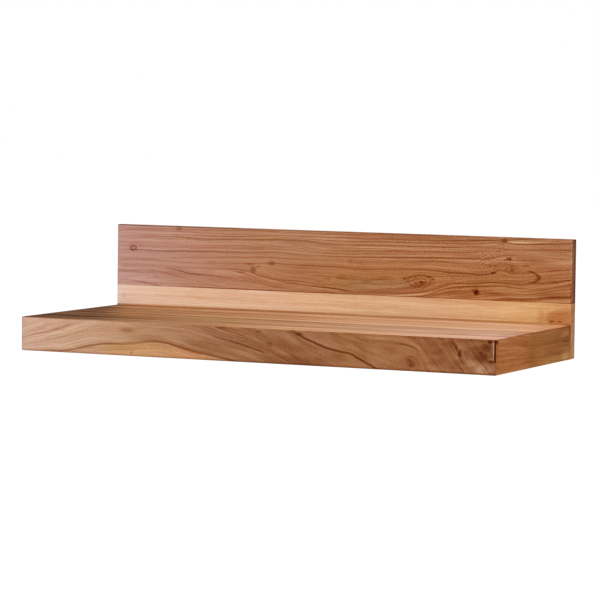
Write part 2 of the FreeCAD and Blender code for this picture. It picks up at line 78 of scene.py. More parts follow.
# How far the figure may turn paler than the wood's tone, against how far it may turn darker.
PALE_SHARE = 0.6

# How much the fibres and the pores change the roughness, and the depth of the wood's relief in metres.
FIBRE_ROUGHNESS = 0.16
PORE_ROUGHNESS = 0.15
WOOD_RELIEF = 0.00012

# Marks and mottles of the steel per metre, and the depth of its relief in metres.
STEEL_MARKS = 9000
STEEL_MOTTLES = 400
STEEL_RELIEF = 0.00003

# Places of the colour sockets on a Mix node.
MIX_FACTOR = 0
MIX_FIRST = 6
MIX_SECOND = 7
MIX_RESULT = 2


def light(red, green, blue):
    """Linear light of a colour written as it looks on a screen, 0 to 255."""
    levels = (red / 255, green / 255, blue / 255)
    return tuple(c / 12.92 if c <= 0.04045 else ((c + 0.055) / 1.055) ** 2.4 for c in levels) + (1.0,)


def dimmed(colour, share):
    """Linear light of a colour brought down to a share of its levels."""
    return light(*(round(share * level) for level in colour))


class Field:
    """One output of a node, on which ordinary arithmetic adds Math nodes."""

    def __init__(self, tree, socket):
        self.tree = tree
        self.socket = socket

    def math(self, operation, *others):
        node = self.tree.node("ShaderNodeMath", operation=operation)
        for slot, value in zip(node.inputs, (self, *others)):
            self.tree.feed(slot, value)
        return Field(self.tree, node.outputs[0])

    def __add__(self, other):
        return self.math("ADD", other)

    def __sub__(self, other):
        return self.math("SUBTRACT", other)

    def __mul__(self, other):
        return self.math("MULTIPLY", other)

    def __truediv__(self, other):
        return self.math("DIVIDE", other)

    def scaled(self, factor, offset):
        return self.math("MULTIPLY_ADD", factor, offset)

    def larger(self, other):
        return self.math("MAXIMUM", other)

    def smaller(self, other):
        return self.math("MINIMUM", other)

    def size(self):
        return self.math("ABSOLUTE")

    def step(self, start, end, low=0.0, high=1.0):
        """Smooth change from low to high while this value goes from start to end."""
        return self.tree.map(self, start, end, low, high, "SMOOTHSTEP")

    def line(self, start, end, low=0.0, high=1.0):
        """Even change from low to high while this value goes from start to end."""
        return self.tree.map(self, start, end, low, high, "LINEAR")


class Tree:
    """The node tree of a new material or world, with helpers that add nodes to it."""

    def __init__(self, owner):
        owner.use_nodes = True
        self.owner = owner
        self.nodes = owner.node_tree.nodes
        self.links = owner.node_tree.links
        self.nodes.clear()

    def node(self, kind, **settings):
        made = self.nodes.new(kind)
        for key, value in settings.items():
            setattr(made, key, value)
        return made

    def feed(self, slot, value):
        """Links a field into a socket, or writes a plain value there."""
        if isinstance(value, Field):
            self.links.new(value.socket, slot)
        else:
            slot.default_value = value

    def map(self, value, start, end, low, high, kind):
        node = self.node("ShaderNodeMapRange", interpolation_type=kind)
        for slot, given in zip(node.inputs, (value, start, end, low, high)):
            self.feed(slot, given)
        return Field(self, node.outputs[0])

    def vector(self, x, y, z):
        node = self.node("ShaderNodeCombineXYZ")
        for slot, value in zip(node.inputs, (x, y, z)):
            self.feed(slot, value)
        return Field(self, node.outputs[0])

    def parts(self, socket):
        """The x, y and z of a vector socket, by name."""
        node = self.node("ShaderNodeSeparateXYZ")
        self.links.new(socket, node.inputs[0])
        return {axis: Field(self, part) for axis, part in zip("xyz", node.outputs)}

    def noise(self, place, detail, roughness=0.5):
        """Smooth noise from 0 to 1 at a place in units of its own grain."""
        node = self.node("ShaderNodeTexNoise")
        self.feed(node.inputs["Vector"], place)
        node.inputs["Scale"].default_value = 1.0
        node.inputs["Detail"].default_value = detail
        node.inputs["Roughness"].default_value = roughness
        return Field(self, node.outputs["Fac"])

    def cells(self, place):
        """Distance to the nearest of scattered points."""
        node = self.node("ShaderNodeTexVoronoi")
        self.feed(node.inputs["Vector"], place)
        node.inputs["Scale"].default_value = 1.0
        return Field(self, node.outputs["Distance"])

    def curve(self, place, points):
        """A smooth line through points with both values from 0 to 1, level beyond its ends."""
        node = self.node("ShaderNodeFloatCurve")
        node.mapping.extend = "HORIZONTAL"
        drawn = node.mapping.curves[0].points
        for _ in points[2:]:
            drawn.new(0.5, 0.5)
        for made, spot in zip(drawn, points):
            made.location = spot
            made.handle_type = "AUTO"
        node.mapping.update()
        self.feed(node.inputs["Value"], place)
        return Field(self, node.outputs[0])

    def ramp(self, place, stops):
        """Colours along a value from 0 to 1; each stop is (place, colour)."""
        node = self.node("ShaderNodeValToRGB")
        elements = node.color_ramp.elements
        for _ in stops[2:]:
            elements.new(1.0)
        for made, (spot, colour) in zip(elements, stops):
            made.position = spot
            made.color = light(*colour)
        self.feed(node.inputs["Fac"], place)
        return Field(self, node.outputs["Color"])

    def blend(self, share, first, second, kind="MIX"):
        """The first colour, turned into the second by a share."""
        node = self.node("ShaderNodeMix", data_type="RGBA", blend_type=kind)
        self.feed(node.inputs[MIX_FACTOR], share)
        self.feed(node.inputs[MIX_FIRST], first)
        self.feed(node.inputs[MIX_SECOND], second)
        return Field(self, node.outputs[MIX_RESULT])

    def tint(self, share, colour, tinge):
        """The colour, multiplied by a tinge by a share."""
        return self.blend(share, colour, tinge, "MULTIPLY")

    def darken(self, colour, dark):
        """Darker and a little richer over 0, where 1 is a strong grain line, and paler under 0."""
        node = self.node("ShaderNodeGamma")
        self.feed(node.inputs["Color"], colour)
        self.feed(node.inputs["Gamma"], dark.scaled(RICHER, 1.0).larger(LEAST_GAMMA))
        scale = self.node("ShaderNodeVectorMath", operation="SCALE")
        self.links.new(node.outputs["Color"], scale.inputs[0])
        self.feed(scale.inputs["Scale"], (dark * -DIMMER).math("EXPONENT"))
        return Field(self, scale.outputs["Vector"])

    def surface(self, colour, roughness, height, relief, shine=0.5, metallic=0.0):
        """Ends the tree in a shader with bumps of the given height field and relief in metres."""
        shader = self.node("ShaderNodeBsdfPrincipled")
        self.feed(shader.inputs["Base Color"], colour)
        self.feed(shader.inputs["Roughness"], roughness)
        shader.inputs["Specular IOR Level"].default_value = shine
        shader.inputs["Metallic"].default_value = metallic
        bump = self.node("ShaderNodeBump")
        bump.inputs["Distance"].default_value = relief
        self.feed(bump.inputs["Height"], height)
        self.links.new(bump.outputs["Normal"], shader.inputs["Normal"])
        output = self.node("ShaderNodeOutputMaterial")
        self.links.new(shader.outputs["BSDF"], output.inputs["Surface"])
        return self.owner


class Board(Tree):
    """A board's material: u runs along the grain, v across the face, w into the wood, in millimetres."""

    def __init__(self, name, face, length, low, high, tilt, seed, bow=0.0):
        """v goes from low to high; inside the wood the figure moves across by tilt and bow."""
        super().__init__(bpy.data.materials.new(name))
        self.length = length
        self.low = low
        self.span = high - low
        self.seed = seed
        place = self.node("ShaderNodeTexCoord")
        axes = self.parts(place.outputs["Object"])
        normals = self.parts(place.outputs["Normal"])
        self.u, self.face_v, self.w = (axes[axis].scaled(scale, offset) for axis, scale, offset in face)
        # Each is 1 where it holds: on the sawn ends, on the rounded corners beside them, on what looks up,
        # elsewhere than there, and on the rounded top edges.
        sideways = normals[face[0][0]].size()
        self.sawn_end = sideways.step(0.6, 0.9)
        self.corner = sideways.step(0.15, 0.45) * sideways.step(0.9, 0.65)
        self.upward = normals["z"].step(0.8, 0.98)
        self.not_upward = self.upward.scaled(-1.0, 1.0)
        self.arris = normals["z"].step(0.1, 0.5) * normals["z"].step(0.97, 0.85)
        self.share = self.u / length
        self.place_v(self.face_v + self.w * self.w.scaled(bow, tilt))

    def place_v(self, v):
        """Sets v, and the level that is its share of the board's span."""
        self.v = v
        self.level = v.scaled(1 / self.span, -self.low / self.span)

    def shake(self, wave, ripple):
        """Moves v by slow waves and fine ripples, so that no drawn line or spot looks ruled."""
        slow = self.noise(self.vector(self.u / 42, self.v / 14, self.w / 30 + self.seed), 1.0)
        fast = self.noise(self.vector(self.u / 7, self.v / 2.2, self.seed), 2.0)
        shift = slow.scaled(wave, -0.5 * wave) + fast.scaled(ripple, -0.5 * ripple)
        self.place_v(self.v + shift)
        self.face_place = self.vector(self.u, self.v, 0.0)

    def path(self, points):
        """The line v = f(u) through points in millimetres, as a share of the board's own span."""
        scaled = [(u / self.length, (v - self.low) / self.span) for u, v, *_ in points]
        return self.curve(self.share, scaled)

    def flow(self, guides):
        """The grain straightened out: equal along each guide line, in millimetres across."""
        means = [sum(point[1] for point in points) / len(points) for points in guides]
        lines = [self.path(points) for points in guides]
        total = (self.level - lines[0]).smaller(0.0).scaled(self.span, means[0])
        for upper, lower, start, end in zip(lines, lines[1:], means, means[1:]):
            total = total + self.level.line(upper, lower, 0.0, end - start)
        return total + (self.level - lines[-1]).larger(0.0) * self.span

    def stroke(self, points, above, below):
        """A dark line through (u, v, strength) points, which fades out above and below."""
        distance = (self.level - self.path(points)).scaled(self.span, -0.3 * above)
        strength = self.curve(self.share, [(u / self.length, s) for u, _, s in points])
        return distance.step(-above, 0.0) * distance.step(below, 0.0) * strength

    def strokes(self, drawn, above, below):
        total = self.stroke(drawn[0], above, below)
        for points in drawn[1:]:
            total = total.larger(self.stroke(points, above, below))
        return total

    def reach(self, u, v, half_length, half_height):
        """Distance from a spot's centre, 1 at its rim."""
        move = self.node("ShaderNodeVectorMath", operation="MULTIPLY_ADD")
        self.feed(move.inputs[0], self.face_place)
        move.inputs[1].default_value = (1 / half_length, 1 / half_height, 0.0)
        move.inputs[2].default_value = (-u / half_length, -v / half_height, 0.0)
        length = self.node("ShaderNodeVectorMath", operation="LENGTH")
        self.links.new(move.outputs[0], length.inputs[0])
        return Field(self, length.outputs["Value"])

    def spots(self, drawn):
        """Soft dark spots, each (u, v, half length, half height, strength), pale where that is under 0."""
        total = None
        for *ellipse, strength in drawn:
            made = self.reach(*ellipse).step(1.0, 0.2, 0.0, strength)
            total = made if total is None else total + made
        return total

    def ring_knot(self, u, v, half_length, half_height, rings, strength):
        """Broken, gritty rings round a centre."""
        grit = self.noise(self.vector(self.u / 1.8, self.v / 1.3, self.seed + u), 2.0, 0.7)
        reach = self.reach(u, v, half_length, half_height) + grit.scaled(0.7, -0.35)
        waves = (reach * (rings * 2 * math.pi)).math("COSINE").scaled(-0.5, 0.5)
        return waves * grit.step(0.42, 0.58, 0.15, 1.0) * reach.step(1.15, 0.8, 0.0, strength)


def speckle(board, areas, size=1.7):
    """Fine dark grit in areas of disturbed grain, each (u, v, half length, half height)."""
    place = board.vector(board.u / size, board.v / (0.8 * size), board.seed + 5)
    grit = board.noise(place, 1.0, 0.6).step(0.52, 0.66)
    area = board.reach(*areas[0]).step(1.1, 0.5)
    for spot in areas[1:]:
        area = area.larger(board.reach(*spot).step(1.1, 0.5))
    return grit * area


def streaks(board, grain, across, along, detail, roughness, offset=0.0):
    """Noise drawn out along the grain, of a size across and along it in millimetres.

    The offset keeps it apart from the other noises of the board.
    """
    place = board.vector(grain / across, board.u / along, board.w / (6 * across) + (board.seed + offset))
    return board.noise(place, detail, roughness)


def ring_lines(board, grain, across, along, count):
    """Crisp nested growth-ring lines, dark on one side, that follow slow hills along the grain."""
    hills = streaks(board, grain, across, along, 0.0, 0.5, 31.0)
    phase = (hills * count).math("FRACT")
    return phase.step(0.3, 0.88) * phase.step(1.0, 0.93)


def pores(board, across=0.6, along=5.5):
    """Short dark dashes of open pores along the board."""
    place = board.vector(board.v / across, board.u / along, board.w / across + board.seed)
    return board.cells(place).step(0.36, 0.1)


GOLDEN = light(252, 255, 238)
REDDISH = light(255, 248, 246)


def drift(board, grain, tone, amount):
    """The tone leaning to gold in some bands of the grain and to red in others."""
    bands = streaks(board, grain, 9.0, 90.0, 2.0, 0.55, 23.0)
    golden = board.tint(bands.step(0.5, 0.72, 0, amount), tone, GOLDEN)
    return board.tint(bands.step(0.5, 0.3, 0, amount), golden, REDDISH)


def wood(board, grain, tone, dark, ring_size, contrast, roughness=0.5, shine=0.05, hue_drift=1.0):
    """Finishes a board: growth rings, fibres and pores along the grain over its tone, then the shader."""
    broad = streaks(board, grain, ring_size * 3.0, 380.0, 2.0, 0.5)
    rings = streaks(board, grain, ring_size, 240.0, 3.0, 0.65, 7.0)
    thin_lines = (rings - 0.5).size().step(0.06, 0.0)
    fibre = streaks(board, grain, 0.8, 30.0, 3.0, 0.6, 13.0)
    flecks = board.noise(board.vector(board.u / 2.6, board.v / 1.1, board.w / 2 + board.seed), 1.0)
    open_pores = pores(board) * broad.step(0.35, 0.65)
    figure = (
        (broad - 0.5) * BROAD_SHARE
        + (rings - 0.5) * RING_SHARE
        + thin_lines * THIN_LINE_SHARE
        + (fibre - 0.5) * FIBRE_SHARE
        + (flecks - 0.5) * FLECK_SHARE
        + open_pores * PORE_SHARE
    ) * contrast
    figure = figure.larger(figure * PALE_SHARE)
    colour = board.darken(drift(board, grain, tone, hue_drift), figure + dark)
    rough = fibre.scaled(FIBRE_ROUGHNESS, roughness - FIBRE_ROUGHNESS / 2) + open_pores * PORE_ROUGHNESS
    height = fibre * 0.6 + rings * 0.5 - open_pores * 0.9
    return board.surface(colour, rough, height, WOOD_RELIEF, shine)


# The figure of each board below is in its own millimetres. A line's points are (u, v, strength), and the
# strength says how dark it is drawn there. A guide line also leads the grain on both sides of it. Spots are
# (u, v, half length, half height, strength), areas of grit the same without a strength, and tones are
# (share of the way, colour).

# The upper board of the back panel: guide lines from top to bottom.
UPPER_GUIDES = [
    [(0, 7, 0.2), (30, 6, 0.5), (80, 6.5, 0.4), (150, 7.5, 0.4), (215, 7, 0.5), (300, 7, 0.5),
     (380, 6.5, 0.5), (440, 6, 0.5), (480, 5, 0.7), (510, 3, 0.4), (600, -1, 0.1)],
    [(0, 15, 0.1), (40, 13.5, 0.35), (90, 13, 0.5), (110, 14.2, 0.6), (150, 13.8, 0.6), (200, 12.5, 0.5),
     (250, 11.8, 0.5), (300, 15.5, 0.45), (350, 14.5, 0.6), (430, 13.7, 0.8), (500, 12.5, 0.3),
     (520, 13.5, 0.6), (560, 13, 0.6), (600, 12, 0.6)],
    [(0, 22, 0.1), (100, 22.5, 0.15), (200, 20.5, 0.15), (300, 23, 0.3), (340, 22, 0.4), (400, 20.5, 0.6),
     (450, 19.3, 0.6), (480, 18.6, 0.5), (500, 17.5, 0.2), (540, 16, 0.3), (600, 15, 0.3)],
    [(0, 31, 0), (35, 30.5, 0.5), (60, 31, 0.85), (100, 30, 1), (150, 29.5, 1), (190, 28.7, 0.6),
     (215, 27.3, 0.8), (235, 28.2, 0.7), (270, 29.5, 0.35), (300, 29.8, 0.7), (340, 29, 0.9),
     (400, 27.5, 0.8), (450, 26.3, 0.7), (490, 25.8, 0.8), (505, 23.5, 0.7), (515, 21, 0.4),
     (535, 20, 0.4), (560, 21, 0.4), (600, 22.5, 0.3)],
    [(0, 44, 0.1), (35, 42, 0.3), (80, 43.5, 0.2), (130, 44, 0.2), (165, 42.5, 0.4), (190, 41.8, 0.6),
     (215, 40.7, 0.9), (235, 41.8, 0.7), (260, 42, 0.8), (300, 42.5, 0.8), (330, 44, 0.8),
     (360, 43.5, 0.6), (400, 41.4, 0.6), (430, 42, 0.7), (445, 43.7, 0.9), (470, 44, 1), (490, 44.8, 1),
     (503, 42, 1), (508, 39, 0.6), (530, 42.5, 0.2), (560, 40, 0.1), (600, 36, 0)],
    [(0, 50, 0), (60, 51, 0.1), (120, 51, 0.1), (150, 50.5, 0.35), (170, 50.5, 0.6), (186, 53, 0.9),
     (192, 55.5, 1), (205, 58.2, 0.9), (215, 60.2, 0.7), (225, 62.5, 0.3), (236, 64.4, 0.6),
     (250, 65.5, 0.6), (262, 66.4, 0.6), (272, 67, 0.9), (285, 67.6, 0.9), (300, 69, 0.9),
     (312, 70.6, 0.7), (330, 71.2, 0.3), (370, 69.5, 0.1), (400, 65.5, 0), (420, 61, 0), (440, 55, 0),
     (470, 51, 0), (500, 49, 0), (540, 48, 0), (560, 46, 0), (600, 42, 0)],
    [(0, 66, 0), (60, 65, 0), (100, 64, 0), (180, 69, 0), (250, 72, 0.2), (300, 73.5, 0.3),
     (350, 73, 0.3), (380, 71.8, 0.5), (405, 69, 0.6), (425, 65, 0.8), (435, 61.5, 0.8), (445, 58, 0.8),
     (460, 56, 0.8), (480, 55.5, 0.9), (500, 53.3, 1), (520, 53.5, 1), (540, 54.5, 0.8), (550, 53, 0.5),
     (562, 53, 0.5), (575, 51, 1.1), (600, 47, 1.1)],
    [(0, 72, 0), (100, 71.5, 0), (200, 75, 0), (300, 77, 0), (380, 76, 0), (410, 73.5, 0.5),
     (425, 69.5, 0.5), (435, 65.5, 0.5), (450, 61.5, 0.6), (470, 59.5, 0.6), (490, 58.5, 0.7),
     (510, 57.3, 0.7), (535, 59, 0.5), (560, 60, 0.4), (580, 56, 0.4), (600, 52, 0.4)],
    [(0, 78, 0), (300, 80, 0), (400, 79, 0), (440, 74, 0.4), (470, 70, 0.3), (500, 66, 0.3),
     (520, 64, 0.4), (545, 66, 0.7), (560, 64, 0.8), (580, 60.5, 0.8), (600, 57.5, 0.8)],
    [(0, 84, 0), (300, 86, 0), (440, 82, 0), (480, 77, 0), (520, 72.5, 0.2), (550, 71, 0.5),
     (575, 68, 0.55), (600, 67, 0.6)],
]

# Dark lines between the guides, and pale ones.
UPPER_STROKES = [
    [(0, 4, 0.2), (20, 4, 0.35), (100, 3.5, 0.3), (150, 2.8, 0.55), (190, 2, 0.6), (240, 2.5, 0.2),
     (300, 2.5, 0.5), (360, 1.5, 0.5), (420, 0.5, 0.3), (600, -4, 0)],
    [(0, 10.5, 0.1), (80, 10, 0.3), (150, 10.3, 0.8), (165, 10, 0.8), (190, 8.8, 0.6), (250, 9.3, 0.3),
     (300, 10.8, 0.5), (360, 10, 0.6), (450, 9.3, 0.8), (490, 8, 0.6), (512, 5, 0.6), (530, 7, 1),
     (560, 6.5, 1.1), (600, 4.5, 1)],
    [(60, 40, 0), (90, 38.5, 0.4), (120, 37.4, 0.4), (150, 36.3, 0.6), (170, 35.6, 0.5), (200, 34.3, 0.4),
     (300, 34.5, 0.2), (360, 34, 0.35), (400, 32.5, 0.35), (420, 31.3, 0.6), (445, 31.5, 0.5),
     (490, 32.5, 0.3), (600, 30, 0.3)],
    [(60, 51, 0), (70, 51.5, 0.3), (80, 53, 0.6), (90, 55, 0.7), (100, 57, 0.8), (115, 58, 0.7),
     (150, 60, 0.4), (175, 63.5, 0.25), (195, 66, 0.35), (215, 69, 0.4), (240, 71.5, 0.3), (270, 76, 0)],
    [(0, 46, 0), (150, 51, 0), (162, 52, 0.2), (172, 53.8, 0.6), (182, 57, 0.6), (192, 59.2, 0.5),
     (205, 60.5, 0)],
    [(0, 56, 0.1), (15, 56, 0.3), (40, 55, 0.4), (60, 57, 0.3), (85, 61, 0.3), (100, 65, 0.2),
     (130, 70, 0)],
    [(140, 49, 0), (160, 44, 0.2), (175, 42.5, 0.4), (186, 45, 0.4), (190, 50, 0.3), (200, 56, 0)],
    [(205, 58, 0), (220, 60.3, 0.4), (240, 61.3, 0.5), (262, 62.8, 0.4), (280, 65, 0.1), (300, 66, 0)],
    [(20, 68, 0.3), (45, 72, 0.6), (60, 74, 0.4), (80, 78, 0)],
    [(0, 74.6, 0.05), (90, 74.4, 0.3), (110, 74.1, 0.9), (300, 74.4, 1), (350, 74.7, 1), (400, 74.8, 0.9),
     (600, 74.8, 0.6)],
]
UPPER_PALE = [
    [(330, 75, 0), (360, 73.3, 0.4), (395, 72.3, 0.6), (420, 70.3, 0.6), (432, 67.8, 0.7),
     (445, 64.6, 0.7), (458, 63, 0.7), (470, 62.3, 0.5), (480, 62, 0.2), (600, 61, 0)],
    [(0, 18, 0), (300, 17, 0.2), (340, 17.5, 0.5), (380, 17, 0.6), (420, 16.8, 0.5), (460, 15.5, 0.2),
     (600, 10, 0)],
    [(0, 5, 0), (490, 5.5, 0), (515, 5.2, 0.4), (525, 5, 1), (545, 4.8, 0.9), (570, 4, 0.3), (600, 3, 0)],
    [(0, 61, 0), (480, 61, 0), (495, 60.2, 0.6), (510, 60.2, 0.6), (530, 61, 0.3), (560, 57, 0.5),
     (600, 49.5, 0.4)],
    [(0, 68, 0), (250, 66, 0), (268, 68, 0.3), (285, 69.6, 0.6), (298, 70.4, 0.6), (310, 71, 0),
     (600, 70, 0)],
]

UPPER_SPOTS = [
    (86, 3, 7, 4, 1.0), (131, 43, 11, 2.6, 0.35), (213, 41, 8, 5.5, 0.7), (213, 41.5, 5, 3, 0.3),
    (55, 64, 6, 2.5, 0.3), (188, 50, 6, 6, 1.1), (184, 43, 10, 2, 0.9), (195, 46, 5, 1.6, 0.9),
    (172, 53.5, 8, 2.2, 0.8), (502.5, 42.2, 5, 2.0, 1.9), (318, 35, 5, 3, 0.4), (516, 4, 6, 3.5, 1.6),
    (522, 25, 5.5, 2.4, 2.6), (517, 26.5, 4, 1.4, 1.2), (526, 38.3, 3.5, 1.8, 1.2),
    (481, 66, 5, 4.6, 3.8), (476.4, 63.6, 2.4, 1.6, 1.2), (485.6, 67.6, 2.6, 1.6, 1.2),
    (500, 66, 22, 2.6, 0.6), (479, 61, 3.5, 1.4, 0.7), (472, 67, 26, 7, 0.4), (578, 66, 36, 6, 0.6),
    (452, 69, 16, 4, 0.3), (411, 57, 5, 2.6, 1.5), (403, 57.5, 3, 1.6, 0.9), (389, 53, 3, 2.5, 1.3),
    (421, 50, 6, 1.8, 1.5), (426, 53, 4, 2, 1.3), (250, 55, 60, 16, 0.12), (300, 45, 80, 3, 0.2),
    (512, 8, 5, 2, 0.7), (500, 34, 14, 2, 0.5), (543.5, 32.8, 6, 1.3, 1.5), (562, 27, 44, 5, 0.45),
    (306, 55, 12, 4, 0.5), (288, 57, 8, 3, 0.4), (510, 16, 4, 3, 0.6), (505, 68, 26, 4, 0.5),
    (340, 58.5, 12, 3, 0.4), (40, 66, 80, 12, -0.25), (160, 46, 46, 10, 0.2), (250, 24, 65, 9, -0.2),
    (250, 46, 62, 10, 0.2), (410, 9, 170, 13, 0.15), (585, 9, 50, 13, 0.3), (540, 28, 60, 10, 0.15),
    (546, 24.3, 28, 4, 0.7),
]
UPPER_GRIT = [(496, 28, 20, 14), (511, 12, 12, 13), (517, 32, 14, 9), (394, 55, 13, 9)]
FAINT_GRIT = [(326, 37, 14, 8), (25, 27, 16, 9)]

# Its tones along the face, and on the sawn end from front to rear, where the near-black rear is painted
# shade.
UPPER_TONES = [
    (0.0, (194, 151, 140)), (0.10, (193, 149, 131)), (0.20, (191, 143, 118)), (0.34, (188, 141, 110)),
    (0.42, (185, 140, 109)), (0.5, (183, 135, 101)), (0.72, (182, 132, 96)), (0.9, (182, 134, 99)),
    (1.0, (180, 130, 96)),
]
UPPER_END_TONES_AND_SHADE = [
    (0.0, (170, 118, 84)), (0.2, (150, 97, 64)), (0.45, (136, 82, 52)), (0.75, (92, 46, 27)),
    (1.0, (40, 16, 10)),
]
LOWER_DOWN = light(249, 238, 213)
DULLER = light(234, 236, 241)
# A grey tinge of painted shade for the rounded top edge of the upper board.
UPPER_RIM_SHADE = light(196, 202, 212)


def upper_board():
    """Heartwood, calmer on its left, with an eye knot, two ring knots and a loop of grain at the right."""
    board = Board("heartwood_panel", PANEL_FACE, LENGTH, -10, 90, 0.9, 1.0, bow=0.02)
    board.shake(1.2, 0.9)
    eye = board.ring_knot(408, 55.5, 18, 9, 3, 1.5)
    ring = board.ring_knot(22.5, 28.5, 6.8, 5.6, 1, 3.0)
    small_ring = board.ring_knot(526, 38, 9, 5.2, 1.5, 1.5)
    loop = (board.reach(533.5, 46, 26, 8.3) - 1.0).size().step(0.17, 0.02)
    loop = loop * board.u.step(541, 551, 0, 1.5)
    calm = board.reach(225, 40, 235, 24).step(1.0, 0.5, 1.0, 0.72)
    grain = board.flow(UPPER_GUIDES) + board.reach(410, 55, 26, 12).step(1, 0, 0, 2.5)
    drawn = board.strokes(UPPER_GUIDES, 1.3, 0.8).larger(board.strokes(UPPER_STROKES, 1.3, 0.8))
    drawn = drawn * calm.step(0.72, 1.0, 1.5, 2.1)
    pale = board.strokes(UPPER_PALE, 1.3, 0.9) * 1.1
    grit = speckle(board, UPPER_GRIT) * 1.6 - speckle(board, UPPER_GRIT, 2.3) * 0.6
    grit = grit + speckle(board, FAINT_GRIT) * 0.7
    # Painted shade along the rounded top edge, strongest at the left.
    rim = board.arris * board.share.step(0.4, 0.08, 0.8, 2.6)
    # Painted highlight on the rounded end edges in the upper part of the board, darker rounded end edges
    # below.
    corner = board.corner * board.face_v.step(48, 58, -0.6, 0.8)
    dark = drawn.larger(loop) + board.spots(UPPER_SPOTS) + eye + ring + small_ring
    dark = dark + grit - pale + rim + corner
    face = board.ramp(board.share, UPPER_TONES)
    face = board.tint(board.face_v.step(6, 52) * board.u.step(110, 330), face, LOWER_DOWN)
    face = board.tint(board.reach(350, 64, 75, 14).step(1, 0.3), face, DULLER)
    # The rounded top edge also takes the grey tinge of painted shade, strongest at the left.
    face = board.tint(board.arris * board.share.step(1.0, 0.0, 0.3, 1.0), face, UPPER_RIM_SHADE)
    end = board.ramp(board.w / PANEL_THICKNESS, UPPER_END_TONES_AND_SHADE)
    contrast = board.share.step(0.15, 0.8, 1.1, 1.75) * calm
    return wood(board, grain, board.blend(board.sawn_end, face, end), dark, 2.2, contrast)


# The lower board of the back panel: pale sapwood with a brown patch at its right end. Its guide lines only
# lead the grain.
LOWER_GUIDES = [
    [(0, 78), (150, 79), (300, 78), (450, 77), (600, 79)],
    [(0, 88), (90, 87), (200, 89), (330, 88), (450, 90), (540, 88), (570, 85), (600, 82)],
    [(0, 99), (150, 98), (300, 100), (450, 99), (600, 101)],
    [(0, 125), (200, 118), (400, 126), (600, 119)],
]
LOWER_SPOTS = [
    (10, 88, 6, 5, 0.5), (576.5, 96.4, 5, 1.3, 2.2), (586, 96.2, 4, 1.2, 2.2), (563, 91, 7, 14, 0.45),
    (120, 88, 40, 3, 0.2), (560, 128, 30, 8, 0.5),
]
LOWER_TONES = [
    (0.0, (236, 204, 187)), (0.06, (238, 204, 180)), (0.15, (234, 200, 171)), (0.25, (229, 192, 162)),
    (0.42, (226, 188, 154)), (0.5, (221, 185, 147)), (0.75, (216, 174, 135)), (0.88, (221, 179, 131)),
    (0.93, (213, 170, 118)), (1.0, (204, 151, 104)),
]
LOWER_END_TONES = [
    (0.0, (180, 122, 80)), (0.4, (182, 130, 92)), (0.75, (166, 124, 92)), (1.0, (136, 104, 84)),
]
PATCH = light(190, 132, 82)


def lower_board():
    """Sapwood with a pale joint above it, and a dark joint line and painted shadow where it meets the top.
    """
    board = Board("sapwood_panel", PANEL_FACE, LENGTH, 60, 150, 0.7, 21.0)
    board.shake(1.4, 0.8)
    grain = board.flow(LOWER_GUIDES)
    joint = board.face_v.step(81, 76.5, 0, -0.4) * board.share.step(0.7, 0.2)
    # Where the board meets the top: a dark joint line and painted contact shadow.
    foot_line_and_shade = board.face_v.step(97.6, 99.1) * board.w.step(1.5, 0.6)
    foot_line_and_shade = foot_line_and_shade * board.share.step(0.6, 0.4, 1.5, 3.2) * board.share.step(0.96, 0.86, 0.2, 1)
    # Painted highlight on the rounded right end edges, and darker rounded left end edges.
    corner = board.corner * board.share.step(0.2, 0.8, 0.4, -0.5)
    dark = board.spots(LOWER_SPOTS) + joint + foot_line_and_shade + corner
    face = board.ramp(board.share, LOWER_TONES)
    face = board.blend(board.reach(604, 93, 37, 14.5).step(1.03, 0.86, 0, 0.9), face, PATCH)
    end = board.ramp(board.w / PANEL_THICKNESS, LOWER_END_TONES)
    tone = board.blend(board.sawn_end, face, end)
    return wood(board, grain, tone, dark, 2.4, 1.5, hue_drift=0.35)


